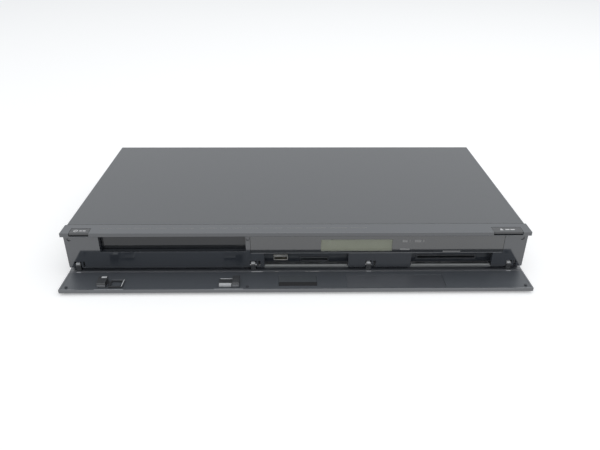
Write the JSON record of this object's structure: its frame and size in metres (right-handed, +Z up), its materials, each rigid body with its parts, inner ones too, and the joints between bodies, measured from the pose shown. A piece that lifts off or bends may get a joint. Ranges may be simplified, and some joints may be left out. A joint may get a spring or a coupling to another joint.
{
  "type": "blu-ray recorder",
  "caption": "Low, wide disc recorder with a fold-down front flap, a motorised disc tray, card and data recesses and a rear panel of sockets.",
  "frame": {"origin": "on the table under the middle of the outline, midway between the open flap's edge and the tips of the rear sockets", "axes": "+X to the viewer's right across the front, +Y from front to back, +Z up"},
  "size_m": [0.43, 0.2506, 0.049],
  "materials": {
    "gloss_black": "glossy black moulded plastic",
    "smoked_panel": "smoked acrylic, back-painted",
    "display_glass": "clear pane over a grey-green display",
    "display_tube": "fluorescent display",
    "circuit_board": "green solder resist",
    "tin_plate": "tin-plated sheet",
    "dark_plastic": "black moulded plastic",
    "button_plastic": "satin black cap",
    "painted_cover": "fine matte dark grey paint",
    "screw_steel": "plated steel",
    "galvanised_sheet": "galvanised sheet",
    "rear_sheet": "black coated sheet",
    "foot_rubber": "black rubber",
    "flap_black": "semi-gloss black plastic",
    "flap_liner": "satin liner",
    "inlay_plate": "grey plate",
    "foam": "black foam",
    "arm_plastic": "light grey plastic",
    "guide_plastic": "black plastic",
    "nickel": "nickel plate",
    "aluminium": "cast and extruded",
    "winding": "yellow tape over a ferrite core",
    "frame_plastic": "black frame plastic",
    "tray_plastic": "black tray plastic",
    "gear_plastic": "white acetal",
    "lens_glass": "coated lens"
  },
  "bodies": {
    "recorder": {"front_moulding": "gloss_black", "front_wells": "dark_plastic", "display_panel": "smoked_panel", "display_window": "display_glass", "display_module": "display_tube", "front_board": "circuit_board", "socket_board": "circuit_board", "main_board": "circuit_board", "power_board": "circuit_board", "tuner_module": "tin_plate", "remote_sensor": "dark_plastic", "button_switches": "dark_plastic", "data_port": "tin_plate", "memory_card_slot": "dark_plastic", "access_card_slot": "dark_plastic", "top_cover": "painted_cover", "cover_screws": "screw_steel", "bottom_chassis": "galvanised_sheet", "rear_panel": "rear_sheet", "feet": "foot_rubber", "hinge_pins": "screw_steel", "antenna_sockets": "nickel", "av_jacks": "dark_plastic", "video_socket": "tin_plate", "network_socket": "dark_plastic", "optical_socket": "dark_plastic", "ac_inlet": "dark_plastic", "heat_sink": "aluminium", "power_transformer": "winding", "hard_drive": "aluminium", "hard_drive_bracket": "galvanised_sheet", "fan_frame": "dark_plastic", "drive_frame": "frame_plastic", "drive_cover": "galvanised_sheet", "loading_belt": "foot_rubber", "loading_motor": "nickel"},
    "flap": {"flap_panel": "flap_black", "flap_liner": "flap_liner", "flap_inlay": "inlay_plate", "flap_foam": "foam", "flap_bumpers": "foot_rubber", "flap_hinge_arms": "arm_plastic", "tray_guides": "guide_plastic"},
    "tray": {"disc_tray": "tray_plastic", "tray_fascia": "gloss_black"},
    "traverse": {"traverse_frame": "galvanised_sheet", "spindle_motor": "nickel", "sled_rods": "screw_steel", "sled_motor": "nickel"},
    "turntable": {"turntable": "frame_plastic"},
    "clamp": {"clamp_puck": "frame_plastic"},
    "sled": {"pickup_sled": "aluminium", "objective_lens": "lens_glass"},
    "lead_screw": {"lead_screw": "screw_steel"},
    "tray_gear": {"tray_gear": "gear_plastic"},
    "pulley_gear": {"pulley_gear": "gear_plastic"},
    "motor_pulley": {"motor_pulley": "gear_plastic"},
    "fan": {"fan_rotor": "dark_plastic"},
    "power_key": {"power_button": "button_plastic"},
    "eject_key": {"eject_button": "button_plastic"}
  },
  "joints": [
    {"name": "flap_hinge", "type": "hinge", "parent": "recorder", "child": "flap", "pos_m": [0, -0.0907, 0.01], "axis": [1, 0, 0], "range_deg": [-90, 0]},
    {"name": "tray_slide", "type": "slide", "parent": "recorder", "child": "tray", "axis": [0, -1, 0], "range_m": [0, 0.136]},
    {"name": "tray_gear_spin", "type": "hinge", "parent": "recorder", "child": "tray_gear", "pos_m": [-0.16215, -0.0648, 0.028], "axis": [0, 0, 1], "range_deg": [0, 976]},
    {"name": "pulley_gear_spin", "type": "hinge", "parent": "recorder", "child": "pulley_gear", "pos_m": [-0.14115, -0.0648, 0.024], "axis": [0, 0, 1], "range_deg": [-2439, 0]},
    {"name": "motor_pulley_spin", "type": "hinge", "parent": "recorder", "child": "motor_pulley", "pos_m": [-0.11315, -0.0648, 0.023], "axis": [0, 0, 1], "range_deg": [-7052, 0]},
    {"name": "traverse_tilt", "type": "hinge", "parent": "recorder", "child": "traverse", "pos_m": [-0.11515, 0.0732, 0.024], "axis": [1, 0, 0], "range_deg": [0, 4.5]},
    {"name": "turntable_spin", "type": "hinge", "parent": "traverse", "child": "turntable", "pos_m": [-0.11515, -0.0229, 0.03], "axis": [0, 0, 1], "continuous": true},
    {"name": "clamp_spin", "type": "hinge", "parent": "recorder", "child": "clamp", "pos_m": [-0.11515, -0.0229, 0.04], "axis": [0, 0, 1], "continuous": true},
    {"name": "sled_slide", "type": "slide", "parent": "traverse", "child": "sled", "axis": [0, 1, 0], "range_m": [0, 0.034]},
    {"name": "lead_screw_spin", "type": "hinge", "parent": "traverse", "child": "lead_screw", "pos_m": [-0.13915, 0.0012, 0.02], "axis": [0, 1, 0], "range_deg": [0, 4090]},
    {"name": "fan_spin", "type": "hinge", "parent": "recorder", "child": "fan", "pos_m": [0.096, 0.1092, 0.0261], "axis": [0, 1, 0], "continuous": true},
    {"name": "power_press", "type": "slide", "parent": "recorder", "child": "power_key", "axis": [0, 0, -1], "range_m": [0, 0.0008], "stiffness_N_per_m": 300, "springref_m": -0.0004},
    {"name": "eject_press", "type": "slide", "parent": "recorder", "child": "eject_key", "axis": [0, 0, -1], "range_m": [0, 0.0008], "stiffness_N_per_m": 300, "springref_m": -0.0004}
  ],
  "couplings": [
    {"joint": "tray_gear_spin", "follows": "tray_slide", "rad_per_m": 125},
    {"joint": "pulley_gear_spin", "follows": "tray_slide", "rad_per_m": -312.5},
    {"joint": "motor_pulley_spin", "follows": "tray_slide", "rad_per_m": -903.72},
    {"joint": "lead_screw_spin", "follows": "sled_slide", "rad_per_m": 2094.4},
    {"joint": "clamp_spin", "follows": "turntable_spin", "ratio": 1}
  ]
}
